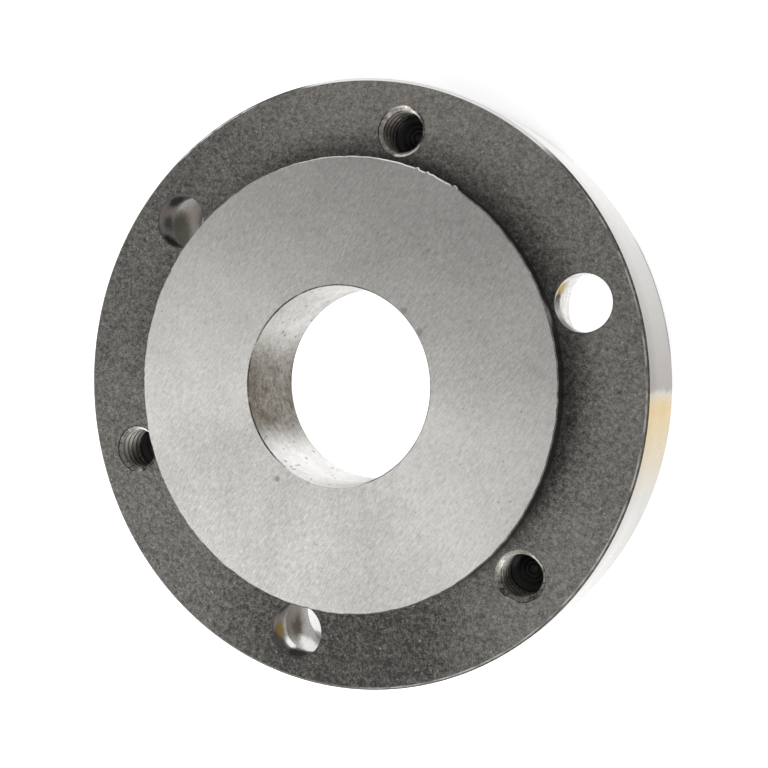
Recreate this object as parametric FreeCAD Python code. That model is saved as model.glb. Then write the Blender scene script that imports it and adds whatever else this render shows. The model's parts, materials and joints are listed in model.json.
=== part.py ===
import FreeCAD, Part
import math
import os

# Lathe chuck adapter plate: one iron casting, turned all over and drilled on two pitch circles.
# All lengths are in millimetres and all angles in degrees.
# The plate lies on its rear face: the origin is the centre of that face, and +Z runs towards the chuck.

# Turned form
flange_diameter = 100.0
flange_thickness = 18.0
register_diameter = 74.0           # spigot that centres the chuck
register_height = 3.0              # above the front face of the flange
bore_diameter = 32.5               # clears long work passed through the spindle
spindle_recess_diameter = 55.0     # fits over the nose of the lathe spindle
spindle_recess_depth = 5.0

# Broken edges of the turned form
front_rim_chamfer = 0.5
rear_rim_chamfer = 0.3
register_chamfer = 0.2
bore_front_chamfer = 0.4
bore_rear_chamfer = 0.4
recess_mouth_chamfer = 0.5

# Holes for the chuck: a tapped set and a clearance set share one pitch circle
chuck_hole_count = 3
tapped_set_angle = 90.0            # first tapped hole, from +X towards +Y
clearance_set_turn = 62.0          # from a tapped hole on to the next clearance hole

# Tapped set, cut from the front and left blind
chuck_thread_diameter = 8.0
chuck_thread_pitch = 1.25
chuck_thread_depth = 6.0           # full diameter, without the drill's point

# Clearance set, with counterbores from the rear for screw heads
chuck_screw_clearance = 1.0        # hole larger than the thread that passes through it
screw_land = 4.5                   # flange left under each screw head
counterbore_diameter = 14.0
counterbore_rim_wall = 1.0         # metal left between a counterbore and the rim
clearance_mouth_chamfer = 0.15
counterbore_mouth_chamfer = 0.25

# Holes for the spindle flange, tapped from the rear and hidden under the register
spindle_pitch_circle = 66.0
spindle_hole_count = 3
spindle_set_angle = 90.0
spindle_thread_diameter = 6.0
spindle_thread_pitch = 1.0
spindle_thread_depth = 12.0

# Common to all drilled holes
drill_point_angle = 118.0
countersink_oversize = 0.2         # mouth of a tapped hole, larger than its thread
cutter_overshoot = 1.0             # how far a cutter runs out past the plate

front_face = flange_thickness
register_face = flange_thickness + register_height
chuck_pitch_circle = flange_diameter - counterbore_diameter - 2 * counterbore_rim_wall


def revolved(section):
    """Solid of revolution about Z from a closed section of (radius, height) points."""
    points = [FreeCAD.Vector(radius, 0, height) for radius, height in section]
    wire = Part.makePolygon(points + points[:1])
    return Part.Face(wire).revolve(FreeCAD.Vector(0, 0, 0), FreeCAD.Vector(0, 0, 1), 360)


def turned_plate():
    """Flange, register, bore and spindle recess as one turning."""
    rim = flange_diameter / 2
    register = register_diameter / 2
    bore = bore_diameter / 2
    recess = spindle_recess_diameter / 2
    return revolved([
        (rim - rear_rim_chamfer, 0),
        (rim, rear_rim_chamfer),
        (rim, front_face - front_rim_chamfer),
        (rim - front_rim_chamfer, front_face),
        (register, front_face),
        (register, register_face - register_chamfer),
        (register - register_chamfer, register_face),
        (bore + bore_front_chamfer, register_face),
        (bore, register_face - bore_front_chamfer),
        (bore, spindle_recess_depth + bore_rear_chamfer),
        (bore + bore_rear_chamfer, spindle_recess_depth),
        (recess, spindle_recess_depth),
        (recess, recess_mouth_chamfer),
        (recess + recess_mouth_chamfer, 0),
    ])


def tapped_hole(diameter, pitch, depth, run_out):
    """Cutter for a blind tapped hole at its minor diameter, with its mouth at Z = 0 and its point down."""
    drill = (diameter - pitch) / 2
    mouth = (diameter + countersink_oversize) / 2
    point = drill / math.tan(math.radians(drill_point_angle / 2))
    return revolved([
        (0, run_out),
        (mouth, run_out),
        (mouth, 0),
        (drill, drill - mouth),
        (drill, -depth),
        (0, -depth - point),
    ])


def clearance_hole():
    """Cutter for a screw hole with its mouth at the front face and its counterbore at the rear."""
    hole = (chuck_thread_diameter + chuck_screw_clearance) / 2
    head = counterbore_diameter / 2
    step = front_face - screw_land
    run_out = register_height + cutter_overshoot
    return revolved([
        (0, front_face + run_out),
        (hole + clearance_mouth_chamfer, front_face + run_out),
        (hole + clearance_mouth_chamfer, front_face),
        (hole, front_face - clearance_mouth_chamfer),
        (hole, step),
        (head, step),
        (head, counterbore_mouth_chamfer),
        (head + counterbore_mouth_chamfer, 0),
        (head + counterbore_mouth_chamfer, -cutter_overshoot),
        (0, -cutter_overshoot),
    ])


def on_circle(cutter, pitch_circle, count, first_angle):
    """Copies of a cutter, evenly spaced round a pitch circle."""
    copies = []
    for index in range(count):
        angle = math.radians(first_angle + index * 360 / count)
        copy = cutter.copy()
        copy.translate(FreeCAD.Vector(math.cos(angle), math.sin(angle), 0) * (pitch_circle / 2))
        copies.append(copy)
    return copies


def chuck_tapped_set():
    """Blind tapped holes, open at the front face of the flange."""
    run_out = register_height + cutter_overshoot
    hole = tapped_hole(chuck_thread_diameter, chuck_thread_pitch, chuck_thread_depth, run_out)
    hole.translate(FreeCAD.Vector(0, 0, front_face))
    return on_circle(hole, chuck_pitch_circle, chuck_hole_count, tapped_set_angle)


def chuck_clearance_set():
    """Counterbored screw holes between the tapped ones."""
    first_angle = tapped_set_angle + clearance_set_turn
    return on_circle(clearance_hole(), chuck_pitch_circle, chuck_hole_count, first_angle)


def spindle_tapped_set():
    """Blind tapped holes in the rear face."""
    hole = tapped_hole(spindle_thread_diameter, spindle_thread_pitch, spindle_thread_depth, cutter_overshoot)
    hole.rotate(FreeCAD.Vector(0, 0, 0), FreeCAD.Vector(1, 0, 0), 180)
    return on_circle(hole, spindle_pitch_circle, spindle_hole_count, spindle_set_angle)


def adapter_plate():
    """The finished plate: the turning with its three sets of holes cut."""
    cutters = chuck_tapped_set() + chuck_clearance_set() + spindle_tapped_set()
    return turned_plate().cut(cutters).Solids[0]


os.makedirs("parts", exist_ok=True)
plate = adapter_plate()
plate.exportStep("parts/adapter_plate.step")
print("adapter_plate: volume %.0f cubic mm, valid %s" % (plate.Volume, plate.isValid()))
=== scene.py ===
import json
import math
import random

import bpy
from mathutils import Matrix, Vector


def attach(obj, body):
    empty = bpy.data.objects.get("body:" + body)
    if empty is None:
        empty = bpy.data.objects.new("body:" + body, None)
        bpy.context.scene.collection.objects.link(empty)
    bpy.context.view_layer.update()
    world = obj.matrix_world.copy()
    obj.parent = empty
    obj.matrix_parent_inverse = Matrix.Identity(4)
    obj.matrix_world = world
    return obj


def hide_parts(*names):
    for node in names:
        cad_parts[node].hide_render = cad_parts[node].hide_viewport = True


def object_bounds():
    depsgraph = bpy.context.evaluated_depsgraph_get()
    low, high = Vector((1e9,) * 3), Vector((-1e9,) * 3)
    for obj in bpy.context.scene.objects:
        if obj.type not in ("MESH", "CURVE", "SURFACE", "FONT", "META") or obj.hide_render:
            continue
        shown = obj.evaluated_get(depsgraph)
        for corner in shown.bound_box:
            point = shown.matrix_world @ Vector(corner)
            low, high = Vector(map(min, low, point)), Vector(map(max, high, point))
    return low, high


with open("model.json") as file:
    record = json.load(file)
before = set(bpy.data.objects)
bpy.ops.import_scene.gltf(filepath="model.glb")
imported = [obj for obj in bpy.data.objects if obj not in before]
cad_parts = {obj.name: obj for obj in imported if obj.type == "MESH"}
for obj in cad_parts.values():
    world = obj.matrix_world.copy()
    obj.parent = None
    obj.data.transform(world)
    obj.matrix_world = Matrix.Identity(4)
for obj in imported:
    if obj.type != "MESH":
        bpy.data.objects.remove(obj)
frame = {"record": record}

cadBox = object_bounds()
mm = 0.001
print("frame loaded, box", [round(v * 1000, 2) for v in cadBox[1] - cadBox[0]], "mm")


def mountOf(name):
    return next(m for m in frame["record"]["mounts"] if m["name"] == name)


def sizeOf(name, key):
    return mountOf(name)["dims"][key]


def deselectAll():
    if bpy.context.object and bpy.context.object.mode != "OBJECT":
        bpy.ops.object.mode_set(mode="OBJECT")
    bpy.ops.object.select_all(action="DESELECT")


def makeActive(piece):
    deselectAll()
    piece.select_set(True)
    bpy.context.view_layer.objects.active = piece


# camera and room

cameraPlace = {
    "place": (84.694, 27.168, 204.706),   # mm from the centre of the rear face
    "aim": (3.961, 1.140, 11.0),
    "roll": -93.51,                        # degrees, the plate is seen lying on its side
    "lens": 59.18,
}


def addCamera(spec):
    lookFrom = Vector(spec["place"]) * mm
    lookAlong = Vector(spec["aim"]) * mm - lookFrom
    turn = lookAlong.to_track_quat("-Z", "Y").to_matrix().to_4x4()
    turn = turn @ Matrix.Rotation(math.radians(spec["roll"]), 4, "Z")
    bpy.ops.object.camera_add(location=lookFrom, rotation=turn.to_euler())
    camera = bpy.context.object
    camera.name = "photoCamera"
    camera.data.lens = spec["lens"]
    camera.data.sensor_width = 36
    camera.data.clip_start = 0.005
    camera.data.clip_end = 50
    bpy.context.scene.camera = camera


addCamera(cameraPlace)
print("camera placed")

studio = {
    "floorSize": 12.0,          # m
    "floorColour": 0.86,
    "floorGlow": 0.66,          # how bright the floor looks where no lamp reaches it
    "underGlow": 1.0,           # the same under the plate, where only its holes show it
    "underFrom": 0.049,         # m from the middle, and where it has faded to the open floor's
    "underTo": 0.040,
    "contactAt": 0.0485,        # painted shadow: the floor is darker in a ring close under the rim, where hardly any light gets in
    "contactHalf": 0.0008,      # m to either side of it at full strength, and where it has gone
    "contactEnd": 0.0013,
    "contactGlow": 0.30,
    "farFrom": 0.35,            # m from the middle, where the floor starts to pass into the white backdrop
    "farTo": 1.1,
    "ambient": 0.25,            # world light on dull surfaces
    "ceiling": 0.25,            # how bright the room is overhead
    "ceilingStart": 0.35,       # sine of the height where the backdrop starts to darken
    "ceilingEnd": 0.80,
}

softbox = {"distance": 0.8, "width": 0.30, "height": 0.30}   # m, the same for each lamp

lamps = [
    {"name": "keySoftbox", "azimuth": 238, "elevation": 30, "power": 3.6},
    {"name": "leftSoftbox", "azimuth": 210, "elevation": 48, "power": 0.9},
    {"name": "highSoftbox", "azimuth": 218, "elevation": 66, "power": 0.75},
    {"name": "sideFill", "azimuth": 330, "elevation": 36, "power": 1.6},
]


def addNode(tree, kind, inputs=None, **settings):
    node = tree.nodes.new(kind)
    for key, value in settings.items():
        setattr(node, key, value)
    for key, value in (inputs or {}).items():
        if isinstance(value, bpy.types.NodeSocket):
            tree.links.new(value, node.inputs[key])
        else:
            node.inputs[key].default_value = value
    return node


def mathNode(tree, operation, a, b=0.0, c=0.0, clamp=False):
    node = addNode(tree, "ShaderNodeMath", {0: a, 1: b, 2: c}, operation=operation, use_clamp=clamp)
    return node.outputs[0]


def seesBackground(tree):
    path = addNode(tree, "ShaderNodeLightPath")
    either = mathNode(tree, "MAXIMUM", path.outputs["Is Camera Ray"], path.outputs["Is Glossy Ray"])
    return mathNode(tree, "MAXIMUM", either, path.outputs["Is Transmission Ray"])


def addRoom(spec):
    scene = bpy.context.scene
    world = bpy.data.worlds.new("studioRoom")
    scene.world = world
    world.use_nodes = True
    tree = world.node_tree
    tree.nodes.clear()
    direction = addNode(tree, "ShaderNodeTexCoord").outputs["Generated"]
    height = addNode(tree, "ShaderNodeSeparateXYZ", {0: direction}).outputs["Z"]
    overhead = addNode(tree, "ShaderNodeMapRange", {
        "Value": height, "From Min": spec["ceilingStart"], "From Max": spec["ceilingEnd"],
        "To Min": 1.0, "To Max": spec["ceiling"]}, interpolation_type="SMOOTHSTEP").outputs[0]
    shown = seesBackground(tree)
    strength = addNode(tree, "ShaderNodeMix", {0: shown, 2: spec["ambient"], 3: overhead}, data_type="FLOAT")
    background = addNode(tree, "ShaderNodeBackground", {"Color": (1, 1, 1, 1), "Strength": strength.outputs[0]})
    output = addNode(tree, "ShaderNodeOutputWorld")
    tree.links.new(background.outputs[0], output.inputs["Surface"])

    deselectAll()
    bpy.ops.mesh.primitive_plane_add(size=spec["floorSize"])
    floor = bpy.context.object
    floor.name = "studioFloor"
    bpy.ops.object.mode_set(mode="EDIT")
    bpy.ops.mesh.select_all(action="SELECT")
    bpy.ops.mesh.subdivide(number_cuts=3)
    bpy.ops.object.mode_set(mode="OBJECT")
    material = bpy.data.materials.new("paleFloor")
    material.use_nodes = True
    tree = material.node_tree
    tree.nodes.clear()
    grey = spec["floorColour"]
    dull = addNode(tree, "ShaderNodeBsdfDiffuse", {"Color": (grey, grey, grey, 1)})
    place = addNode(tree, "ShaderNodeTexCoord").outputs["Object"]
    fromMiddle = addNode(tree, "ShaderNodeVectorMath", {0: place}, operation="LENGTH").outputs["Value"]
    brightness = addNode(tree, "ShaderNodeMapRange", {
        "Value": fromMiddle, "From Min": spec["underTo"], "From Max": spec["underFrom"],
        "To Min": spec["underGlow"], "To Max": spec["floorGlow"]}).outputs[0]
    # painted shadow: the floor's glow is cut down in a ring close under the rim
    fromContact = mathNode(tree, "ABSOLUTE", mathNode(tree, "SUBTRACT", fromMiddle, spec["contactAt"]))
    contact = addNode(tree, "ShaderNodeMapRange", {
        "Value": fromContact, "From Min": spec["contactHalf"], "From Max": spec["contactEnd"],
        "To Min": spec["contactGlow"]}).outputs[0]
    brightness = mathNode(tree, "MULTIPLY", brightness, contact)
    far = addNode(tree, "ShaderNodeMapRange", {
        "Value": fromMiddle, "From Min": spec["farFrom"], "From Max": spec["farTo"],
        "To Max": 1.0 - spec["floorGlow"]}, interpolation_type="SMOOTHSTEP").outputs[0]
    brightness = mathNode(tree, "ADD", brightness, far)
    glow = addNode(tree, "ShaderNodeEmission", {
        "Color": (1, 1, 1, 1), "Strength": mathNode(tree, "MULTIPLY", seesBackground(tree), brightness)})
    both = addNode(tree, "ShaderNodeAddShader", {0: dull.outputs[0], 1: glow.outputs[0]})
    output = addNode(tree, "ShaderNodeOutputMaterial")
    tree.links.new(both.outputs[0], output.inputs["Surface"])
    floor.data.materials.append(material)


def addLamp(spec, box):
    azimuth, elevation = math.radians(spec["azimuth"]), math.radians(spec["elevation"])
    place = Vector((math.cos(azimuth) * math.cos(elevation), math.sin(azimuth) * math.cos(elevation),
                    math.sin(elevation))) * box["distance"]
    turn = (-place).to_track_quat("-Z", "Y").to_euler()
    bpy.ops.object.light_add(type="AREA", location=place, rotation=turn)
    lamp = bpy.context.object
    lamp.name = spec["name"]
    lamp.data.shape = "RECTANGLE"
    lamp.data.size = box["width"]
    lamp.data.size_y = box["height"]
    lamp.data.energy = spec["power"]


addRoom(studio)
for spec in lamps:
    addLamp(spec, softbox)
bpy.context.scene.view_settings.view_transform = "Standard"
print("room and lamps set")

# the plate: one turned blank, drilled and tapped

plate = {
    "turningSteps": 512,
    "frontRimChamfer": 0.5,
    "rearRimChamfer": 0.3,
    "registerChamfer": 0.2,
    "boreFrontChamfer": 0.2,
    "boreRearChamfer": 0.4,
    "recessMouthChamfer": 0.5,
    "edgeWear": 0.022,           # how far the register's edge wanders
    "burr": 0.36,                # longest burr left on it
    "burrFrom": 69,              # degrees round the plate
    "burrTo": 86,
    "seed": 7,
}

drilling = {
    "steps": 72,
    "tappedTurn": 90,
    "clearanceTurn": 32,
    "tappedDepth": 6.0,
    "tappedMouth": 0.12,         # mouth beyond the thread's own radius
    "tappedLead": 0.05,          # plain wall before the first thread
    "firstFlank": 0.6,           # depth of the first thread, which is finished apart from the others
    "screwLand": 4.5,
    "mouthChamfer": 0.15,
    "counterboreChamfer": 0.25,
    "spindleDepth": 12.0,
    "pointAngle": 118,
    "ringCount": 5,              # marks that the drill leaves in the bottom
    "ringDepth": 0.05,
    "overshoot": 1.2,
}

chuckThread = {"name": "chuckThread", "diameter": 8.0, "pitch": 1.25, "steps": 48, "startTurn": 80}
spindleThread = {"name": "spindleThread", "diameter": 6.0, "pitch": 1.0, "steps": 48, "startTurn": 0}

rimRadius = cadBox[1].x / mm
registerFace = cadBox[1].z / mm
flangeFace = mountOf("chuck_seat")["pos_m"][2] / mm
boreRadius = sizeOf("centre_bore", "r_mm")
recessRadius = sizeOf("spindle_recess", "r_mm")
recessDepth = 2 * mountOf("spindle_recess")["pos_m"][2] / mm
registerRadius = sizeOf("chuck_register", "r_mm")
tapRadius = sizeOf("chuck_tapped_holes", "hole_r_mm")
clearanceRadius = sizeOf("chuck_clearance_holes", "hole_r_mm")
counterboreRadius = sizeOf("chuck_counterbores", "hole_r_mm")
spindleTapRadius = sizeOf("spindle_tapped_holes", "hole_r_mm")
chuckCircle = sizeOf("chuck_tapped_holes", "pcd_mm") / 2
spindleCircle = sizeOf("spindle_tapped_holes", "pcd_mm") / 2


def turnedSolid(name, section, steps):
    deselectAll()
    bpy.ops.mesh.primitive_circle_add(vertices=len(section), radius=0.01)
    solid = bpy.context.object
    solid.name = name
    for vertex, (radius, height) in zip(solid.data.vertices, section):
        vertex.co = (radius * mm, 0, height * mm)
    bpy.ops.object.mode_set(mode="EDIT")
    bpy.ops.mesh.select_all(action="SELECT")
    bpy.ops.mesh.spin(steps=steps, angle=2 * math.pi, center=(0, 0, 0), axis=(0, 0, 1))
    bpy.ops.mesh.select_all(action="SELECT")
    bpy.ops.mesh.remove_doubles(threshold=0.001 * mm)
    bpy.ops.mesh.delete_loose()
    bpy.ops.mesh.select_all(action="SELECT")
    bpy.ops.mesh.normals_make_consistent(inside=False)
    bpy.ops.object.mode_set(mode="OBJECT")
    return solid


def copiedAround(tool, circle, firstTurn):
    copies = []
    for index in range(3):
        turn = math.radians(firstTurn + 120 * index)
        copy = tool.copy()
        copy.data = tool.data.copy()
        bpy.context.scene.collection.objects.link(copy)
        copy.data.transform(Matrix.Translation((circle * math.cos(turn) * mm, circle * math.sin(turn) * mm, 0)))
        copies.append(copy)
    bpy.data.objects.remove(tool, do_unlink=True)
    return copies


def joined(pieces, name):
    deselectAll()
    for piece in pieces:
        piece.select_set(True)
    bpy.context.view_layer.objects.active = pieces[0]
    bpy.ops.object.join()
    pieces[0].name = name
    return pieces[0]


def cutAway(target, tool):
    makeActive(target)
    cut = target.modifiers.new("cut", "BOOLEAN")
    cut.operation = "DIFFERENCE"
    cut.solver = "EXACT"
    cut.object = tool
    bpy.ops.object.modifier_apply(modifier=cut.name)
    bpy.data.objects.remove(tool, do_unlink=True)


def turnedBlank(spec):
    section = [
        (boreRadius, registerFace - spec["boreFrontChamfer"]),
        (boreRadius + spec["boreFrontChamfer"], registerFace),
        (registerRadius - spec["registerChamfer"], registerFace),
        (registerRadius, registerFace - spec["registerChamfer"]),
        (registerRadius, flangeFace),
        (rimRadius - spec["frontRimChamfer"], flangeFace),
        (rimRadius, flangeFace - spec["frontRimChamfer"]),
        (rimRadius, spec["rearRimChamfer"]),
        (rimRadius - spec["rearRimChamfer"], 0),
        (recessRadius + spec["recessMouthChamfer"], 0),
        (recessRadius, spec["recessMouthChamfer"]),
        (recessRadius, recessDepth),
        (boreRadius + spec["boreRearChamfer"], recessDepth),
        (boreRadius, recessDepth + spec["boreRearChamfer"]),
    ]
    return turnedSolid("adapterPlateVisual", section, spec["turningSteps"])


def tapMouth(thread, drillRadius, face, over, beyond, lead):
    # broken edge, short plain wall, then the first flank of the thread down to the drilled wall
    crest = thread["diameter"] / 2
    side = 1 if over > 0 else -1
    flank = (crest - drillRadius) * math.tan(math.radians(30))
    return [(0, face + over), (crest + beyond, face + over), (crest + beyond, face),
            (crest, face - side * beyond), (crest, face - side * (beyond + lead)),
            (drillRadius, face - side * (beyond + lead + flank))]


def drillPoint(radius, bottom, spec, side):
    # the cone that a drill leaves, with its chatter rings, from the wall to the axis
    depth = radius / math.tan(math.radians(spec["pointAngle"] / 2))
    points = [(radius, bottom)]
    for ring in range(1, 2 * spec["ringCount"]):
        along = ring / (2 * spec["ringCount"])
        ripple = spec["ringDepth"] if ring % 2 else -spec["ringDepth"]
        points.append((radius * (1 - along), bottom + side * (depth * along + ripple)))
    points.append((0, bottom + side * depth))
    return points


def drillTools(spec):
    over = spec["overshoot"]
    tapped = tapMouth(chuckThread, tapRadius, flangeFace, over, spec["tappedMouth"], spec["tappedLead"])
    tapped += drillPoint(tapRadius, flangeFace - spec["tappedDepth"], spec, -1)
    front, rear = spec["mouthChamfer"], spec["counterboreChamfer"]
    step = flangeFace - spec["screwLand"]
    clearance = [
        (0, flangeFace + over), (clearanceRadius + front, flangeFace + over), (clearanceRadius + front, flangeFace),
        (clearanceRadius, flangeFace - front), (clearanceRadius, step), (counterboreRadius, step),
        (counterboreRadius, rear), (counterboreRadius + rear, 0), (counterboreRadius + rear, -over), (0, -over),
    ]
    spindle = tapMouth(spindleThread, spindleTapRadius, 0, -over, spec["tappedMouth"], spec["tappedLead"])
    spindle += drillPoint(spindleTapRadius, spec["spindleDepth"], spec, 1)
    tools = copiedAround(turnedSolid("tapDrill", tapped, spec["steps"]), chuckCircle, spec["tappedTurn"])
    tools += copiedAround(turnedSolid("stepDrill", clearance, spec["steps"]), chuckCircle, spec["clearanceTurn"])
    tools += copiedAround(turnedSolid("spindleDrill", spindle, spec["steps"]), spindleCircle, spec["tappedTurn"])
    return joined(tools, "drills")


def threadCoil(spec, drillRadius, low, high):
    outer = spec["diameter"] / 2
    inner = drillRadius - 0.1
    flat = spec["pitch"] / 8
    flank = (outer - inner) * math.tan(math.radians(30))
    section = [(inner, -flat / 2 - flank), (outer, -flat / 2), (outer, flat / 2), (inner, flat / 2 + flank)]
    deselectAll()
    bpy.ops.mesh.primitive_circle_add(vertices=4, radius=0.01)
    coil = bpy.context.object
    coil.name = spec["name"]
    for vertex, (radius, height) in zip(coil.data.vertices, section):
        vertex.co = (radius * mm, 0, (low + height) * mm)
    screw = coil.modifiers.new("screw", "SCREW")
    screw.axis = "Z"
    screw.angle = 2 * math.pi
    screw.screw_offset = spec["pitch"] * mm
    screw.iterations = round((high - low) / spec["pitch"])
    screw.steps = spec["steps"]
    screw.render_steps = spec["steps"]
    screw.use_merge_vertices = False
    bpy.ops.object.modifier_apply(modifier=screw.name)
    coil.data.transform(Matrix.Rotation(math.radians(spec["startTurn"]), 4, "Z"))
    bpy.ops.object.mode_set(mode="EDIT")
    bpy.ops.mesh.select_all(action="SELECT")
    bpy.ops.mesh.fill_holes(sides=0)
    bpy.ops.mesh.select_all(action="SELECT")
    bpy.ops.mesh.normals_make_consistent(inside=False)
    bpy.ops.object.mode_set(mode="OBJECT")
    return coil


def wearRegister(piece, spec):
    # the register's corner isn't a perfect circle: it wanders a little and keeps a few burrs on one side
    dice = random.Random(spec["seed"])
    steps = spec["turningSteps"]
    rough = [dice.gauss(0, spec["edgeWear"]) for _ in range(steps)]
    wander = [rough[i] * 0.5 + rough[i - 1] + rough[i - 2] * 0.8 + rough[i - 3] * 0.4 for i in range(steps)]
    for index in range(steps):
        turn = 360 * index / steps
        if spec["burrFrom"] < turn < spec["burrTo"] and dice.random() < 0.40:
            wander[index] += spec["burr"] * dice.random() ** 2
    for vertex in piece.data.vertices:
        radius = math.hypot(vertex.co.x, vertex.co.y) / mm
        height = vertex.co.z / mm
        if height > registerFace - 1 and radius > registerRadius - 1:
            index = round(math.atan2(vertex.co.y, vertex.co.x) / (2 * math.pi) * steps) % steps
            reach = (radius + wander[index]) / radius
            vertex.co.x *= reach
            vertex.co.y *= reach


visual = turnedBlank(plate)
wearRegister(visual, plate)
print("blank turned,", len(visual.data.polygons), "faces")
cutAway(visual, drillTools(drilling))
print("holes drilled,", len(visual.data.polygons), "faces")
chuckCoil = threadCoil(chuckThread, tapRadius, flangeFace - drilling["tappedDepth"] + 0.5, flangeFace + 0.8)
spindleCoil = threadCoil(spindleThread, spindleTapRadius, -1, drilling["spindleDepth"] - 0.5)
coils = copiedAround(chuckCoil, chuckCircle, drilling["tappedTurn"])
coils += copiedAround(spindleCoil, spindleCircle, drilling["tappedTurn"])
cutAway(visual, joined(coils, "taps"))
print("holes tapped,", len(visual.data.polygons), "faces")


def holeCentres(circle, firstTurn):
    return [(circle * math.cos(math.radians(firstTurn + 120 * i)), circle * math.sin(math.radians(firstTurn + 120 * i)))
            for i in range(3)]


def nearHole(x, y, circle, firstTurn, reach):
    return any(math.hypot(x - holeX, y - holeY) < reach for holeX, holeY in holeCentres(circle, firstTurn))


# finishes, with painted light and shade in many of them

def sector(turn, half, fade, amount):
    # degrees: the middle, half the width at full strength, and the fade beyond it
    return {"turn": turn, "half": half, "fade": fade, "amount": amount}


def spot(at, size, amount, colour):
    # mm: the middle, and how far from it the last trace lies
    return {"at": at, "size": size, "amount": amount, "colour": colour}


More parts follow.
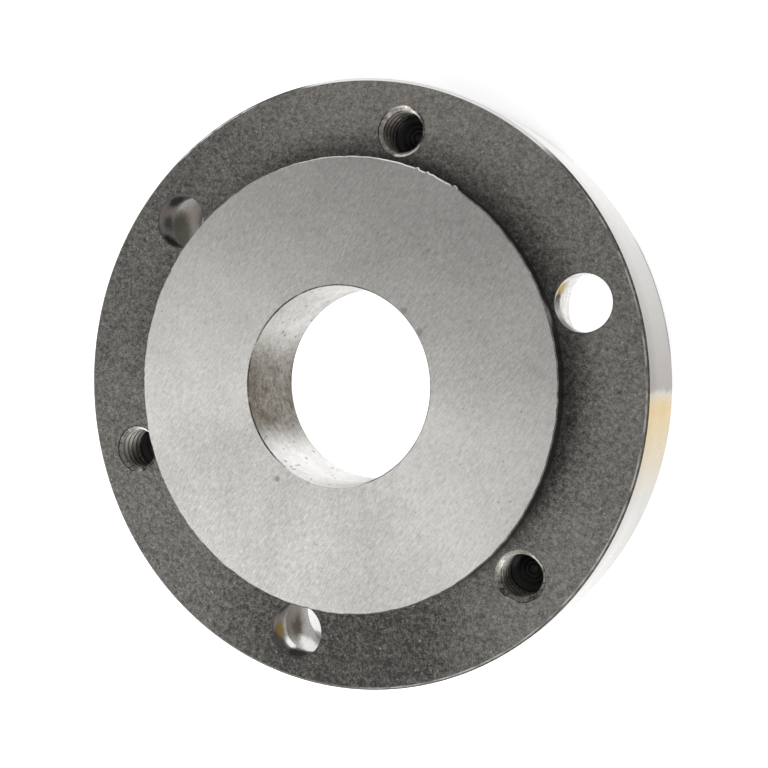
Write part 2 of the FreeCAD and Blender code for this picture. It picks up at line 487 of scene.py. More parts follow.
finish = {
    "flange": {"dark": (0.032, 0.030, 0.027, 1), "light": (0.275, 0.262, 0.240, 1),
               "crystal": (0.50, 0.48, 0.45, 1), "rust": (0.17, 0.10, 0.066, 1),
               # sectors of painted light and shade round the flange
               "lightShadeAndWear": [sector(284, 14, 22, -0.25),
                         sector(212, 12, 24, 0.07),
                         sector(156, 24, 20, -0.03),
                         sector(330, 10, 16, 0.08),
                         sector(97, 22, 26, 0.13),
                         sector(40, 62, 22, 0.13)],
               # painted shadow of the register on the flange beside its foot
               "footShadow": sector(47, 52, 45, -0.27)},
    "register": {"dark": (0.145, 0.141, 0.134, 1), "light": (0.540, 0.526, 0.504, 1), "pit": (0.09, 0.08, 0.068, 1),
                 # sectors of painted light and shade across the register's face
                 "lightShadeAndWear": [sector(338, 12, 32, 0.16),
                           sector(75, 15, 40, -0.08),
                           sector(178, 22, 22, 0.10),
                           sector(238, 16, 26, -0.09),
                           sector(300, 12, 20, -0.06)],
                 "stainsAndLight": [spot((12.1, 11.8, 21), 0.9, 0.45, (0.16, 0.12, 0.085, 1)),
                            spot((8.6, 14.6, 21), 0.7, 0.55, (0.16, 0.12, 0.085, 1)),
                            spot((-6.7, -17.6, 21), 0.6, 0.6, (0.10, 0.09, 0.08, 1))]},
    "edge": {"dark": (0.10, 0.096, 0.09, 1), "light": (0.80, 0.78, 0.75, 1),
             # sectors of painted highlight and painted shade along the register's edge
             "lightShadeAndWear": [sector(150, 55, 30, 0.30),
                       sector(10, 58, 14, -0.45),
                       sector(80, 7, 7, 0.45),
                       sector(288, 32, 15, -0.50)]},
    # rim: painted reflections and shade in sectors, a straw-coloured painted reflection, and a painted shadow line low
    # at the rear
    "rim": {"dark": (0.27, 0.245, 0.22, 1), "light": (0.93, 0.925, 0.91, 1), "strawReflection": (0.70, 0.49, 0.110, 1),
            "strawFrom": 13.5, "strawTo": -7, "shadeFrom": 14, "shadeTo": 60, "shadeLow": 0.10, "shadeHigh": 0.96,
            "shadeEnd": 108, "lightShadeAndWear": [sector(198, 58, 34, -0.42)],
            "plain": 0.52, "paintedLine": (0.17, 0.16, 0.18, 1),
            "rearShadowMarks": [sector(31, 9, 5, 0.85), sector(78, 8, 13, 1.0)]},
    "corner": {"dark": (0.032, 0.030, 0.027, 1), "light": (0.275, 0.262, 0.240, 1), "paintedLine": (0.86, 0.85, 0.83, 1),
               "plain": 0.36, "outer": -0.10,
               # sectors of the painted highlight line, and brighter painted highlight spots
               "highlightLineMarks": [sector(352, 58, 10, 0.36),
                             sector(84, 20, 8, 0.90),
                             sector(133, 7, 6, 1.0)],
               "highlightMarks": [sector(86, 22, 8, 0.85)]},
    "bore": {"dark": (0.098, 0.081, 0.054, 1), "light": (0.92, 0.91, 0.90, 1), "pit": (0.10, 0.09, 0.075, 1),
             # sectors of painted light and shade on the bore's wall, near the mouth and all down it
             "mouthLightAndShade": [sector(196, 12, 18, -0.08),
                            sector(238, 8, 12, 0.12),
                            sector(282, 8, 12, -0.14)],
             "lightShadeAndWear": [sector(140, 7, 12, -0.08),
                       sector(199, 10, 39, -0.50),
                       sector(258, 10, 32, 0.32),
                       sector(222, 4, 8, -0.05)]},
    "boreLip": {"dark": (0.07, 0.062, 0.05, 1), "light": (0.95, 0.94, 0.92, 1),
                # sectors of painted shade and painted highlight on the bore's front edge
                "lightShadeAndWear": [sector(160, 80, 20, -0.45),
                          sector(272, 22, 14, 0.60)]},
    "thread": {"dark": (0.040, 0.036, 0.031, 1), "light": (0.46, 0.44, 0.40, 1), "oil": (0.085, 0.064, 0.052, 1),
               # oil patches, and patches of painted light and shade in the tapped holes
               "stainsAndLight": [
                   spot((33.4, -19.0, 15.8), 3.0, 0.35, (0.62, 0.60, 0.55, 1)),
                   spot((34.9, -24.4, 15.6), 2.4, 0.70, (0.055, 0.055, 0.042, 1)),
                   spot((-3.4, 42.6, 15.8), 2.4, 0.60, (0.10, 0.070, 0.055, 1)),
                   spot((-2.6, 39.6, 15.8), 2.2, 0.60, (0.10, 0.10, 0.085, 1)),
                   spot((-37.8, -18.0, 15.2), 6.0, 0.85, (0.80, 0.77, 0.70, 1)),
                   spot((-37.9, -17.6, 18.8), 3.0, 0.88, (0.15, 0.145, 0.135, 1)),
                   spot((-37.4, -24.4, 15.4), 2.4, 0.45, (0.07, 0.067, 0.06, 1)),
               ]},
    "flank": {"dark": (0.030, 0.026, 0.022, 1), "light": (0.74, 0.71, 0.65, 1), "oil": (0.12, 0.075, 0.062, 1),
              "plain": 0.27, "grain": 0.24,
              # sectors of painted highlight and shade round each tapped hole
              "upperHighlights": [[sector(300, 28, 16, 0.75)], [sector(290, 6, 9, 0.20)], []],
              "lightShadeAndWear": [[sector(114, 14, 30, 0.26), sector(66, 16, 20, -0.14), sector(190, 45, 25, 0.08),
                         sector(10, 35, 25, -0.22)],
                        [sector(100, 34, 24, -0.26), sector(180, 35, 25, 0.06),
                         sector(0, 45, 25, -0.22)],
                        [sector(150, 28, 34, 0.24), sector(235, 20, 20, -0.10),
                         sector(0, 45, 25, -0.15)]]},
    "mouth": {"dark": (0.012, 0.011, 0.010, 1), "light": (0.92, 0.90, 0.85, 1), "oil": (0.04, 0.030, 0.024, 1),
              "plain": 0.03, "grain": 0.07, "upperHighlights": [[], [], []],
              "lightShadeAndWear": [[sector(108, 18, 14, 0.36), sector(302, 30, 16, 0.92)],
                        [sector(95, 30, 18, -0.02), sector(290, 6, 9, 0.40)],
                        [sector(130, 34, 26, 0.38), sector(200, 16, 12, 0.26),
                         sector(262, 9, 9, 0.50)]]},
    "lip": {"dark": (0.03, 0.028, 0.025, 1), "light": (0.15, 0.14, 0.125, 1)},
    "bottom": {"dark": (0.003, 0.003, 0.003, 1), "light": (0.085, 0.091, 0.098, 1)},
    # clearance holes: oil and rust patches, with painted glints, reflections and shade among them
    "hole": {"dark": (0.50, 0.485, 0.47, 1), "light": (0.95, 0.94, 0.93, 1), "grime": (0.14, 0.12, 0.10, 1), "stainsAndLight": [
        spot((-37.1, 19.7, 8), 24, 0.88, (0.24, 0.23, 0.215, 1)),
        spot((-43.5, 22.4, 7.0), 3.2, 0.70, (0.52, 0.51, 0.50, 1)),
        spot((-41.5, 21.4, 16.0), 1.6, 0.60, (0.33, 0.31, 0.30, 1)),
        spot((-44.0, 20.3, 4.5), 4.2, 0.75, (0.36, 0.295, 0.265, 1)),
        spot((-41.5, 20.1, 16.2), 1.5, 0.75, (0.33, 0.26, 0.23, 1)),
        spot((-44.1, 19.2, 7.6), 2.4, 0.65, (0.17, 0.16, 0.105, 1)),
        spot((-43.7, 17.6, 7.0), 4.4, 0.80, (0.085, 0.085, 0.062, 1)),
        spot((-41.4, 18.5, 14.9), 1.9, 0.85, (0.075, 0.078, 0.055, 1)),
        spot((-40.3, 16.6, 15.4), 1.9, 0.75, (0.26, 0.255, 0.25, 1)),
        spot((-43.9, 20.0, 1.2), 2.0, 0.60, (0.30, 0.27, 0.25, 1)),
        spot((-40.2, 22.9, 15.6), 2.1, 0.92, (0.030, 0.029, 0.028, 1)),
        spot((-39.0, 15.5, 16.3), 2.4, 0.97, (0.006, 0.008, 0.009, 1)),
        spot((1.5, -42.0, 7), 24, 0.72, (0.40, 0.385, 0.37, 1)),
        spot((-4.7, -45.0, 6.0), 5.0, 0.75, (0.17, 0.14, 0.115, 1)),
        spot((-4.5, -45.6, 5.4), 2.4, 0.80, (0.105, 0.072, 0.052, 1)),
        spot((-4.1, -46.2, 9.6), 1.8, 0.70, (0.17, 0.17, 0.125, 1)),
        spot((-5.2, -43.8, 6.0), 1.8, 0.60, (0.30, 0.28, 0.26, 1)),
        spot((-3.2, -47.2, 3.0), 1.8, 0.60, (0.48, 0.46, 0.50, 1)),
        spot((-3.1, -41.6, 16.4), 3.0, 0.75, (0.36, 0.34, 0.315, 1)),
        spot((-2.2, -39.2, 16.8), 2.2, 0.94, (0.05, 0.046, 0.04, 1)),
        spot((-1.9, -45.2, 17.4), 3.0, 0.92, (0.085, 0.083, 0.078, 1)),
        spot((1.8, -46.5, 16.0), 3.0, 0.97, (0.014, 0.012, 0.010, 1)),
        spot((-0.8, -45.9, 14.3), 1.4, 0.97, (1.0, 0.99, 0.98, 1)),
        spot((-0.9, -48.5, 5.2), 3.0, 0.90, (1.0, 0.99, 1.0, 1)),
        spot((-2.7, -43.8, 15.6), 1.7, 0.95, (0.34, 0.24, 0.030, 1)),
        spot((31.2, 23.3, 16.1), 1.9, 0.97, (0.60, 0.42, 0.045, 1)),
        spot((31.1, 21.5, 16.4), 1.8, 0.97, (0.012, 0.010, 0.006, 1)),
        spot((31.8, 19.9, 16.4), 2.6, 0.75, (0.45, 0.43, 0.38, 1)),
        spot((33.6, 18.2, 16.8), 2.4, 0.85, (0.20, 0.195, 0.19, 1)),
    ]},
    "rear": {"dark": (0.26, 0.25, 0.235, 1), "light": (0.40, 0.39, 0.37, 1)},
    # register's side wall: its dark colour is painted shade
    "step": {"dark": (0.045, 0.042, 0.038, 1), "light": (0.13, 0.125, 0.115, 1)},
}


def startMaterial(name):
    material = bpy.data.materials.new(name)
    material.use_nodes = True
    tree = material.node_tree
    tree.nodes.clear()
    place = addNode(tree, "ShaderNodeTexCoord").outputs["Object"]
    inMillimetres = addNode(tree, "ShaderNodeMapping", {"Vector": place, "Scale": (1000, 1000, 1000)}).outputs[0]
    shader = addNode(tree, "ShaderNodeBsdfPrincipled")
    output = addNode(tree, "ShaderNodeOutputMaterial")
    tree.links.new(shader.outputs[0], output.inputs["Surface"])
    return material, tree, inMillimetres, shader


def noise(tree, place, size, detail=2.0, rough=0.5):
    node = addNode(tree, "ShaderNodeTexNoise", {"Vector": place, "Scale": 1.0 / size, "Detail": detail,
                                                "Roughness": rough})
    return node.outputs[0]


def stretched(tree, place, scale, turn=0.0):
    turned = addNode(tree, "ShaderNodeMapping", {"Vector": place, "Rotation": (0, 0, math.radians(turn))}).outputs[0]
    return addNode(tree, "ShaderNodeMapping", {"Vector": turned, "Scale": scale}).outputs[0]


def spread(tree, value, low, high, toLow=0.0, toHigh=1.0):
    node = addNode(tree, "ShaderNodeMapRange", {"Value": value, "From Min": low, "From Max": high,
                                                "To Min": toLow, "To Max": toHigh})
    return node.outputs[0]


def turnAround(tree, place):
    # degrees round the plate's axis, from -180 to 180, and the height above its rear face
    parts = addNode(tree, "ShaderNodeSeparateXYZ", {0: place})
    turn = mathNode(tree, "MULTIPLY", mathNode(tree, "ARCTAN2", parts.outputs["Y"], parts.outputs["X"]), 180 / math.pi)
    return turn, parts.outputs["Z"]


def fromAxis(tree, place):
    flat = addNode(tree, "ShaderNodeMapping", {"Vector": place, "Scale": (1, 1, 0)}).outputs[0]
    return addNode(tree, "ShaderNodeVectorMath", {0: flat}, operation="LENGTH").outputs["Value"]


def marksTone(tree, place, lightShadeAndWear, ragged=6.0, grain=5.0):
    # lighter and darker sectors with ragged edges, as a sum to add to a tone: painted light and shade, and some wear
    turn = turnAround(tree, place)[0]
    turn = mathNode(tree, "ADD", turn, spread(tree, noise(tree, place, grain, 3.0), 0.0, 1.0, -ragged, ragged))
    total = 0.0
    for mark in lightShadeAndWear:
        offset = mathNode(tree, "SUBTRACT", turn, mark["turn"])
        away = mathNode(tree, "ABSOLUTE", mathNode(tree, "WRAP", offset, 180, -180))
        here = addNode(tree, "ShaderNodeMapRange", {
            "Value": away, "From Min": mark["half"], "From Max": mark["half"] + mark["fade"],
            "To Min": mark["amount"], "To Max": 0.0}, interpolation_type="SMOOTHSTEP").outputs[0]
        total = mathNode(tree, "ADD", here, total)
    return total


def tappedTone(tree, place, marksByHole):
    # the same round each tapped hole, with its own list of sectors of painted light and shade
    total = 0.0
    for (x, y), lightShadeAndWear in zip(holeCentres(chuckCircle, drilling["tappedTurn"]), marksByHole):
        local = addNode(tree, "ShaderNodeVectorMath", {0: place, 1: (x, y, 0)}, operation="SUBTRACT").outputs["Vector"]
        near = spread(tree, fromAxis(tree, local), 6.0, 5.5)
        total = mathNode(tree, "MULTIPLY_ADD", marksTone(tree, local, lightShadeAndWear, 14.0, 0.9), near, total)
    return total


def blend(tree, amount, first, second, mode="MIX"):
    node = addNode(tree, "ShaderNodeMix", data_type="RGBA", blend_type=mode)
    for index, value in ((0, amount), (6, first), (7, second)):
        if isinstance(value, bpy.types.NodeSocket):
            tree.links.new(value, node.inputs[index])
        else:
            node.inputs[index].default_value = value
    return node.outputs[2]


def bump(tree, height, depth, strength=1.0):
    return addNode(tree, "ShaderNodeBump", {"Height": height, "Distance": depth * mm, "Strength": strength}).outputs[0]


def setShader(tree, shader, inputs):
    for key, value in inputs.items():
        if isinstance(value, bpy.types.NodeSocket):
            tree.links.new(value, shader.inputs[key])
        else:
            shader.inputs[key].default_value = value


def stainAndLightPatches(tree, place, colour, spots):
    # patches with ragged edges, one after another over the colour: real stains, and painted glints and shade
    ragged = spread(tree, noise(tree, place, 0.8, 4.0, 0.9), 0.3, 0.7, -0.6, 0.6)
    for spot in spots:
        away = addNode(tree, "ShaderNodeVectorMath", {0: place, 1: spot["at"]}, operation="DISTANCE").outputs["Value"]
        away = mathNode(tree, "MULTIPLY_ADD", ragged, min(1.0, spot["size"] * 0.6), away)
        here = spread(tree, away, spot["size"], spot["size"] * 0.5, 0.0, spot["amount"])
        colour = blend(tree, here, colour, spot["colour"])
    return colour


def flangeMaterial(look):
    # coarse cast grain under a rough cut: mottled dark iron, a few bright crystals and rusty specks, with painted light
    # and shade in sectors and a painted shadow beside the register's foot
    material, tree, place, shader = startMaterial("roughFlange")
    coarse = noise(tree, place, 0.85, 4.0, 1.0)
    fine = noise(tree, place, 0.33, 2.0, 1.0)
    grain = mathNode(tree, "ADD", mathNode(tree, "MULTIPLY", coarse, 0.62), mathNode(tree, "MULTIPLY", fine, 0.38))
    cloud = noise(tree, place, 7.0, 3.0, 0.6)
    tone = mathNode(tree, "POWER", spread(tree, grain, 0.36, 0.64), 1.4)
    tone = mathNode(tree, "ADD", tone, spread(tree, cloud, 0.3, 0.7, -0.05, 0.05))
    # painted light and shade in sectors, then a painted shadow beside the register's foot that fades out across the
    # flange
    tone = mathNode(tree, "ADD", tone, marksTone(tree, place, look["lightShadeAndWear"]))
    inCorner = spread(tree, fromAxis(tree, place), registerRadius + 1.5, registerRadius + 6.5, 1.0, 0.0)
    footShadow = mathNode(tree, "MULTIPLY", marksTone(tree, place, [look["footShadow"]]), inCorner)
    tone = mathNode(tree, "ADD", tone, footShadow, clamp=True)
    colour = blend(tree, tone, look["dark"], look["light"])
    cells = addNode(tree, "ShaderNodeTexVoronoi", {"Vector": place, "Scale": 1 / 1.3}, feature="F1")
    chosen = spread(tree, addNode(tree, "ShaderNodeSeparateColor", {0: cells.outputs["Color"]}).outputs[0], 0.62, 0.66)
    crystal = spread(tree, cells.outputs["Distance"], 0.07, 0.13, 0.55, 0.0)
    colour = blend(tree, mathNode(tree, "MULTIPLY", crystal, chosen), colour, look["crystal"])
    rust = noise(tree, place, 0.6, 2.0)
    colour = blend(tree, spread(tree, rust, 0.66, 0.76, 0.0, 0.40), colour, look["rust"])
    setShader(tree, shader, {
        "Base Color": colour, "Metallic": 0.35, "Roughness": spread(tree, grain, 0.35, 0.65, 0.72, 0.60),
        "Specular IOR Level": 0.25, "Normal": bump(tree, grain, 0.10, 0.6)})
    return material


def registerMaterial(look):
    # surface-ground face: short slanting scratches, small pits, faint stains, and painted light and shade in broad
    # sectors
    material, tree, place, shader = startMaterial("groundRegister")
    fine = noise(tree, stretched(tree, place, (4.5, 0.8, 1.0), 22), 1.0, 3.0, 0.9)
    broad = noise(tree, stretched(tree, place, (2.2, 0.40, 1.0), 22), 1.0, 3.0, 0.8)
    speck = noise(tree, place, 0.75, 3.0, 0.9)
    cloud = noise(tree, place, 8.0, 3.0, 0.55)
    lines = mathNode(tree, "ADD", mathNode(tree, "MULTIPLY", fine, 0.65), mathNode(tree, "MULTIPLY", broad, 0.35))
    mixed = mathNode(tree, "ADD", mathNode(tree, "MULTIPLY", lines, 0.74), mathNode(tree, "MULTIPLY", speck, 0.26))
    cloudy = spread(tree, cloud, 0.3, 0.7, -0.05, 0.05)
    tone = mathNode(tree, "ADD", spread(tree, mixed, 0.34, 0.66, 0.20, 0.80), cloudy)
    # painted light and shade in broad sectors
    tone = mathNode(tree, "ADD", tone, marksTone(tree, place, look["lightShadeAndWear"]), clamp=True)
    colour = blend(tree, tone, look["dark"], look["light"])
    scratch = noise(tree, stretched(tree, place, (3.6, 0.50, 1.0), 22), 1.0, 2.0, 0.5)
    colour = blend(tree, spread(tree, scratch, 0.67, 0.75, 0.0, 0.38), colour, look["pit"])
    colour = stainAndLightPatches(tree, place, colour, look["stainsAndLight"])
    pit = addNode(tree, "ShaderNodeTexVoronoi", {"Vector": place, "Scale": 1 / 2.6}, feature="F1").outputs["Distance"]
    colour = blend(tree, spread(tree, pit, 0.04, 0.075, 0.45, 0.0), colour, look["pit"])
    setShader(tree, shader, {
        "Base Color": colour, "Metallic": 0.85, "Roughness": spread(tree, mixed, 0.36, 0.64, 0.46, 0.38),
        "Normal": bump(tree, mixed, 0.04, 0.5)})
    return material


def turnedMaterial(name, look, ridge, roughLow, roughHigh, depth, metallic=0.95):
    # fine rings that a lathe tool leaves around the axis
    material, tree, place, shader = startMaterial(name)
    rings = noise(tree, stretched(tree, place, (0.05, 0.05, 1.0 / ridge)), 1.0, 3.0, 0.6)
    cloud = noise(tree, place, 3.5, 4.0, 0.7)
    speck = noise(tree, place, 0.6, 3.0, 0.9)
    tone = mathNode(tree, "ADD", spread(tree, rings, 0.3, 0.7, 0.33, 0.57), spread(tree, cloud, 0.3, 0.7, -0.22, 0.22))
    tone = mathNode(tree, "ADD", tone, spread(tree, speck, 0.35, 0.65, -0.15, 0.15))
    # the sectors, where given, are painted highlights and painted shade
    if "lightShadeAndWear" in look:
        tone = mathNode(tree, "ADD", tone, marksTone(tree, place, look["lightShadeAndWear"]))
    colour = blend(tree, spread(tree, tone, 0.0, 1.0), look["dark"], look["light"])
    height = mathNode(tree, "ADD", rings, mathNode(tree, "MULTIPLY", speck, 0.3))
    setShader(tree, shader, {
        "Base Color": colour, "Metallic": metallic, "Roughness": spread(tree, cloud, 0.3, 0.7, roughLow, roughHigh),
        "Normal": bump(tree, height, depth, 0.5)})
    return material


def boreMaterial(look):
    # bored wall of open-grained iron: pale, pitted near the mouth, with a painted shade streak on one side that darkens
    # upwards, and a band of painted light beside it
    material, tree, place, shader = startMaterial("boredWall")
    speck = noise(tree, place, 0.9, 4.0, 0.9)
    cloud = noise(tree, place, 4.0, 3.0, 0.6)
    cloudy = spread(tree, cloud, 0.3, 0.7, -0.08, 0.08)
    tone = mathNode(tree, "ADD", spread(tree, speck, 0.34, 0.66, 0.51, 0.75), cloudy)
    height = turnAround(tree, place)[1]
    high = spread(tree, height, registerFace - 9.0, registerFace - 2.0)
    # painted light and shade in sectors, some only near the mouth
    tone = mathNode(tree, "MULTIPLY_ADD", marksTone(tree, place, look["mouthLightAndShade"], 3.0), high, tone)
    tone = mathNode(tree, "ADD", tone, marksTone(tree, place, look["lightShadeAndWear"], 3.0), clamp=True)
    colour = blend(tree, tone, look["dark"], look["light"])
    cells = addNode(tree, "ShaderNodeTexVoronoi", {"Vector": place, "Scale": 1 / 1.1}, feature="F1")
    nearMouth = spread(tree, height, registerFace, registerFace - 5.0, 0.35, 0.0)
    chosen = addNode(tree, "ShaderNodeSeparateColor", {0: cells.outputs["Color"]}).outputs[0]
    chosen = spread(tree, mathNode(tree, "ADD", chosen, nearMouth), 0.80, 0.85)
    pit = mathNode(tree, "MULTIPLY", spread(tree, cells.outputs["Distance"], 0.20, 0.32, 0.75, 0.0), chosen)
    colour = blend(tree, pit, colour, look["pit"])
    smoke = spread(tree, height, registerFace - 8, registerFace, 0.0, 0.30)
    smoke = mathNode(tree, "MULTIPLY", smoke, spread(tree, cloud, 0.35, 0.65))
    colour = blend(tree, smoke, colour, look["pit"])
    setShader(tree, shader, {
        "Base Color": colour, "Metallic": 0.9, "Roughness": spread(tree, speck, 0.3, 0.7, 0.50, 0.36),
        "Normal": bump(tree, speck, 0.05, 0.5)})
    return material


def drilledMaterial(look):
    # bright drilled wall with oil, rust and smears, and with its glints and dark reflections painted in
    material, tree, place, shader = startMaterial("drilledWall")
    rings = noise(tree, stretched(tree, place, (0.1, 0.1, 3.5)), 1.0, 3.0, 0.6)
    cloud = noise(tree, place, 2.5, 4.0, 0.75)
    cloudy = spread(tree, cloud, 0.3, 0.7, -0.35, 0.35)
    tone = mathNode(tree, "ADD", spread(tree, rings, 0.3, 0.7, 0.4, 0.6), cloudy, clamp=True)
    colour = blend(tree, tone, look["dark"], look["light"])
    colour = stainAndLightPatches(tree, place, colour, look["stainsAndLight"])
    speck = noise(tree, place, 0.55, 4.0, 0.9)
    colour = blend(tree, spread(tree, speck, 0.50, 0.66, 0.0, 0.32), colour, look["grime"])
    pale = addNode(tree, "ShaderNodeRGBToBW", {0: colour}).outputs[0]
    mixed = mathNode(tree, "ADD", rings, speck)
    setShader(tree, shader, {
        "Base Color": colour, "Metallic": 1.0, "Roughness": spread(tree, pale, 0.0, 0.8, 0.62, 0.26),
        "Normal": bump(tree, mixed, 0.05, 0.5)})
    return material


def rimMaterial(look):
    # finely turned rim with painted reflections: a grey side brightening to near white, a straw-coloured band beside
    # it, and a painted shadow line along the rear edge
    material, tree, place, shader = startMaterial("satinRim")
    turn, height = turnAround(tree, place)
    edge = spread(tree, noise(tree, place, 2.5, 3.0), 0.0, 1.0, -1.2, 1.2)
    turn = mathNode(tree, "ADD", turn, edge)
    rings = noise(tree, stretched(tree, place, (0.02, 0.02, 4.0)), 1.0, 3.0, 0.6)
    cloud = noise(tree, place, 4.0, 3.0, 0.6)
    tone = mathNode(tree, "ADD", spread(tree, rings, 0.3, 0.7, -0.06, 0.06), spread(tree, cloud, 0.3, 0.7, -0.06, 0.06))
    # painted reflection: grey from shadeFrom, brightening to near white by shadeTo, back to plain past shadeEnd
    past = spread(tree, turn, look["shadeFrom"] - 1, look["shadeFrom"])
    side = spread(tree, turn, look["shadeFrom"], look["shadeTo"], look["shadeLow"], look["shadeHigh"])
    side = mathNode(tree, "SUBTRACT", side, look["plain"])
    past = mathNode(tree, "MULTIPLY", past, spread(tree, turn, look["shadeEnd"], look["shadeEnd"] + 40, 1.0, 0.0))
    tone = mathNode(tree, "ADD", tone, mathNode(tree, "MULTIPLY", past, side))
    tone = mathNode(tree, "ADD", tone, marksTone(tree, place, look["lightShadeAndWear"]))
    tone = mathNode(tree, "ADD", tone, spread(tree, height, 11.5, 16.5, 0.0, -0.17))
    tone = mathNode(tree, "ADD", tone, look["plain"], clamp=True)
    colour = blend(tree, tone, look["dark"], look["light"])
    # painted reflection: a straw-coloured band just below shadeFrom
    strawReflection = mathNode(tree, "MULTIPLY", spread(tree, turn, look["strawFrom"], look["strawFrom"] - 3),
                     spread(tree, turn, look["strawTo"], look["strawFrom"], 0.0, 1.0))
    colour = blend(tree, mathNode(tree, "MULTIPLY", strawReflection, 0.9), colour, look["strawReflection"])
    # painted shadow: a dark line low on the rim in two sectors
    rear = mathNode(tree, "MULTIPLY", spread(tree, height, 1.5, 1.0), marksTone(tree, place, look["rearShadowMarks"], 2.0))
    colour = blend(tree, rear, colour, look["paintedLine"])
    setShader(tree, shader, {
        "Base Color": colour, "Metallic": 0.95, "Roughness": spread(tree, cloud, 0.3, 0.7, 0.26, 0.36),
        "Normal": bump(tree, rings, 0.02, 0.5)})
    return material


def cornerMaterial(look):
    # broken front corner of the rim: dull like the flange, with painted shade on its outer part and a painted highlight
    # line along its inner edge
    material, tree, place, shader = startMaterial("rimCorner")
    height = turnAround(tree, place)[1]
    grain = noise(tree, place, 0.6, 3.0, 0.9)
    patchy = noise(tree, place, 2.6, 2.0, 0.6)
    chamfer = plate["frontRimChamfer"]
    tone = mathNode(tree, "ADD", spread(tree, grain, 0.36, 0.64, -0.26, 0.26), look["plain"])
    # painted shade on the outer part of the chamfer
    outer = spread(tree, height, flangeFace - chamfer * 0.5, flangeFace - chamfer * 0.6, 0.0, look["outer"])
    tone = mathNode(tree, "ADD", tone, outer)
    colour = blend(tree, spread(tree, tone, 0.0, 1.0), look["dark"], look["light"])
    # painted highlight: a bright line along the inner edge, in sectors
    inner = spread(tree, height, flangeFace - chamfer * 0.55, flangeFace - chamfer * 0.40)
    paintedLine = mathNode(tree, "MULTIPLY", inner, spread(tree, patchy, 0.40, 0.56, 0.20, 1.0))
    paintedLine = mathNode(tree, "MULTIPLY", paintedLine, marksTone(tree, place, look["highlightLineMarks"], 3.0))
    paintedLine = mathNode(tree, "MAXIMUM", paintedLine, marksTone(tree, place, look["highlightMarks"], 3.0))
    colour = blend(tree, paintedLine, colour, look["paintedLine"])
    setShader(tree, shader, {
        "Base Color": colour, "Metallic": spread(tree, paintedLine, 0.0, 1.0, 0.35, 0.9),
        "Roughness": spread(tree, paintedLine, 0.0, 1.0, 0.65, 0.32), "Specular IOR Level": 0.25,
        "Normal": bump(tree, grain, 0.06, 0.5)})
    return material


def threadMaterial(name, look, mouth, bottom):
    # cut thread, oily: bright near the mouth, with painted shade that deepens towards the bottom
    material, tree, place, shader = startMaterial(name)
    depth = spread(tree, turnAround(tree, place)[1], bottom, mouth)
    cloud = noise(tree, place, 1.1, 3.0, 0.8)
    speck = noise(tree, place, 0.4, 2.0, 0.8)
    # painted shade: darker towards the bottom of the hole, and darker again just under the mouth
    tone = mathNode(tree, "ADD", spread(tree, depth, 0.0, 0.80, 0.20, 0.85), spread(tree, depth, 0.84, 1.0, 0.0, -0.50))
    tone = mathNode(tree, "ADD", tone, spread(tree, cloud, 0.35, 0.65, -0.30, 0.30))
    tone = mathNode(tree, "ADD", tone, spread(tree, speck, 0.35, 0.65, -0.20, 0.20), clamp=True)
    colour = blend(tree, tone, look["dark"], look["light"])
    colour = blend(tree, spread(tree, noise(tree, place, 2.2, 2.0), 0.50, 0.62, 0.0, 0.75), colour, look["oil"])
    colour = stainAndLightPatches(tree, place, colour, look["stainsAndLight"])
    setShader(tree, shader, {
        "Base Color": colour, "Metallic": 0.6, "Roughness": spread(tree, cloud, 0.3, 0.7, 0.36, 0.52),
        "Normal": bump(tree, speck, 0.05, 0.7)})
    return material


def mouthMaterial(name, look):
    # broken edge of a tapped hole: oily and dark, with painted highlights and shade in places
    material, tree, place, shader = startMaterial(name)
    cloud = noise(tree, place, 0.8, 3.0, 0.8)
    speck = noise(tree, place, 0.35, 2.0, 0.8)
    grain = mathNode(tree, "ADD", mathNode(tree, "MULTIPLY", cloud, 0.55), mathNode(tree, "MULTIPLY", speck, 0.45))
    tone = mathNode(tree, "ADD", spread(tree, grain, 0.37, 0.63, -look["grain"], look["grain"]), look["plain"])
    tone = mathNode(tree, "ADD", tone, tappedTone(tree, place, look["lightShadeAndWear"]))
    high = spread(tree, turnAround(tree, place)[1], flangeFace - 0.40, flangeFace - 0.28)
    # painted highlights on the upper part of the first thread
    tone = mathNode(tree, "MULTIPLY_ADD", tappedTone(tree, place, look["upperHighlights"]), high, tone, clamp=True)
    oil = spread(tree, noise(tree, place, 1.4, 2.0), 0.52, 0.62, 0.0, 0.6)
    colour = blend(tree, tone, blend(tree, oil, look["dark"], look["oil"]), look["light"])
    setShader(tree, shader, {
        "Base Color": colour, "Metallic": 0.8, "Roughness": spread(tree, tone, 0.0, 1.0, 0.55, 0.28),
        "Normal": bump(tree, speck, 0.05, 0.6)})
    return material


def facedMaterial(name, look):
    # faced on the lathe: fine rings about the plate's own axis
    material, tree, place, shader = startMaterial(name)
    outward = mathNode(tree, "MULTIPLY", fromAxis(tree, place), 5.0)
    ringPlace = addNode(tree, "ShaderNodeCombineXYZ", {"X": outward}).outputs[0]
    rings = noise(tree, ringPlace, 1.0, 3.0, 0.6)
    cloud = noise(tree, place, 6.0, 3.0, 0.55)
    speck = noise(tree, place, 0.34, 2.0, 0.6)
    mixed = mathNode(tree, "ADD", mathNode(tree, "MULTIPLY", rings, 0.6), mathNode(tree, "MULTIPLY", speck, 0.4))
    cloudy = spread(tree, cloud, 0.3, 0.7, -0.15, 0.15)
    tone = mathNode(tree, "ADD", spread(tree, mixed, 0.32, 0.68), cloudy, clamp=True)
    colour = blend(tree, tone, look["dark"], look["light"])
    setShader(tree, shader, {
        "Base Color": colour, "Metallic": 0.85, "Roughness": spread(tree, mixed, 0.3, 0.7, 0.48, 0.40),
        "Normal": bump(tree, mixed, 0.05, 0.5)})
    return material


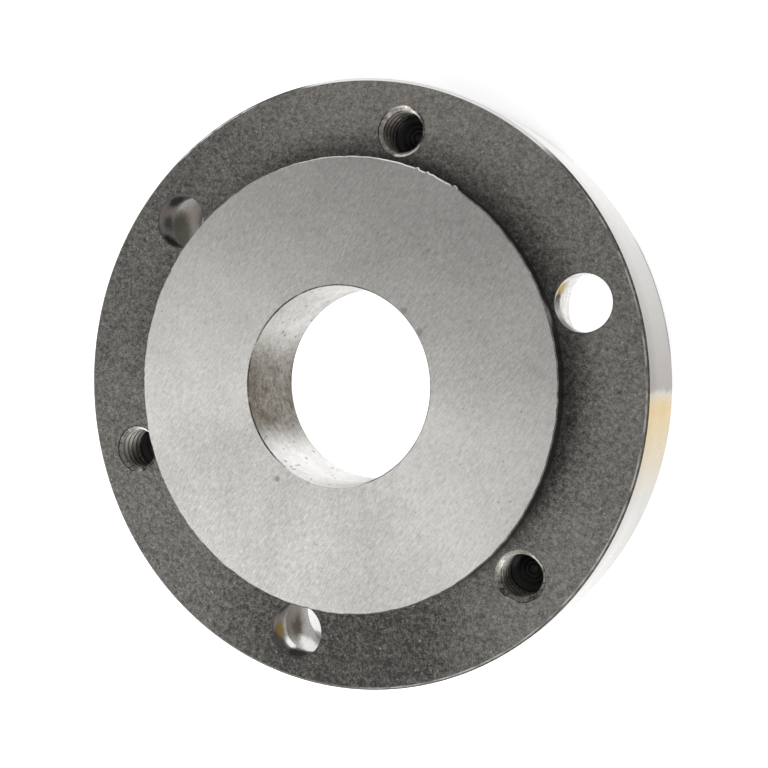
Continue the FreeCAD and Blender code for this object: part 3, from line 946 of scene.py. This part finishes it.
def bottomMaterial(name, look, wall, tip):
    # black drill point: rings follow the height on the cone, and the middle is a little lighter
    material, tree, place, shader = startMaterial(name)
    height = turnAround(tree, place)[1]
    inward = spread(tree, height, wall, tip)
    ringPlace = addNode(tree, "ShaderNodeCombineXYZ", {"X": mathNode(tree, "MULTIPLY", height, 2.6)}).outputs[0]
    rings = spread(tree, noise(tree, ringPlace, 1.0, 2.0, 0.6), 0.42, 0.58)
    tone = mathNode(tree, "MULTIPLY", rings, spread(tree, inward, 0.0, 1.0, 0.25, 1.0))
    tone = mathNode(tree, "ADD", tone, spread(tree, inward, 0.55, 1.0, 0.0, 0.30), clamp=True)
    colour = blend(tree, tone, look["dark"], look["light"])
    setShader(tree, shader, {"Base Color": colour, "Metallic": 0.0, "Roughness": 0.34, "Specular IOR Level": 0.45})
    return material


tappedFloor = flangeFace - drilling["tappedDepth"]
pointDepth = 1 / math.tan(math.radians(drilling["pointAngle"] / 2))

zones = {
    "flange": flangeMaterial(finish["flange"]),
    "register": registerMaterial(finish["register"]),
    "rim": rimMaterial(finish["rim"]),
    "corner": cornerMaterial(finish["corner"]),
    "bore": boreMaterial(finish["bore"]),
    "boreLip": turnedMaterial("boreEdge", finish["boreLip"], 0.30, 0.25, 0.40, 0.02, 0.9),
    "thread": threadMaterial("chuckTapWall", finish["thread"], flangeFace, tappedFloor),
    "rearThread": threadMaterial("spindleTapWall", finish["thread"], 0, drilling["spindleDepth"]),
    "flank": mouthMaterial("firstThread", finish["flank"]),
    "mouth": mouthMaterial("tapMouth", finish["mouth"]),
    "lip": turnedMaterial("dullHoleMouth", finish["lip"], 0.30, 0.45, 0.60, 0.02, 0.4),
    "edge": turnedMaterial("registerEdge", finish["edge"], 0.30, 0.22, 0.34, 0.02, 0.9),
    "bottom": bottomMaterial("chuckDrillPoint", finish["bottom"], tappedFloor, tappedFloor - tapRadius * pointDepth),
    "rearBottom": bottomMaterial("spindleDrillPoint", finish["bottom"], drilling["spindleDepth"],
                                 drilling["spindleDepth"] + spindleTapRadius * pointDepth),
    "hole": drilledMaterial(finish["hole"]),
    "rear": facedMaterial("facedRear", finish["rear"]),
    # register's side wall, darkened with painted shade
    "step": turnedMaterial("registerWall", finish["step"], 0.20, 0.24, 0.34, 0.03, 0.8),
}


def zoneOf(centre):
    x, y, z = centre / mm
    radius = math.hypot(x, y)
    near = 0.02
    if near < z < flangeFace - near:
        bottom = flangeFace - drilling["tappedDepth"] + near
        if z > bottom - 3 and nearHole(x, y, chuckCircle, drilling["tappedTurn"], 4.15):
            if z > flangeFace - drilling["tappedMouth"] - drilling["tappedLead"]:
                return "mouth"
            if z > flangeFace - drilling["firstFlank"]:
                return "flank"
            return "bottom" if z < bottom else "thread"
        bottom = drilling["spindleDepth"] - near
        if z < bottom + 3 and nearHole(x, y, spindleCircle, drilling["tappedTurn"], 3.15):
            return "rearBottom" if z > bottom else "rearThread"
        if nearHole(x, y, chuckCircle, drilling["clearanceTurn"], counterboreRadius + 0.3):
            return "lip" if z > flangeFace - drilling["mouthChamfer"] else "hole"
        if radius > rimRadius - 1:
            return "corner" if z > flangeFace - plate["frontRimChamfer"] + near else "rim"
    if radius < boreRadius + plate["boreFrontChamfer"] - near and z > recessDepth + near:
        return "boreLip" if z > registerFace - plate["boreFrontChamfer"] else "bore"
    if z > registerFace - near:
        return "register"
    if z > registerFace - plate["registerChamfer"]:
        return "edge"
    if z > flangeFace + near:
        return "step"
    return "flange" if z > flangeFace - near else "rear"


def paintZones(piece):
    names = list(zones)
    piece.data.materials.clear()
    for name in names:
        piece.data.materials.append(zones[name])
    for face in piece.data.polygons:
        face.material_index = names.index(zoneOf(face.center))


paintZones(visual)
makeActive(visual)
bpy.ops.object.shade_smooth_by_angle(angle=math.radians(30))
print("finishes laid on")

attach(visual, "root")
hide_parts("adapter_plate")
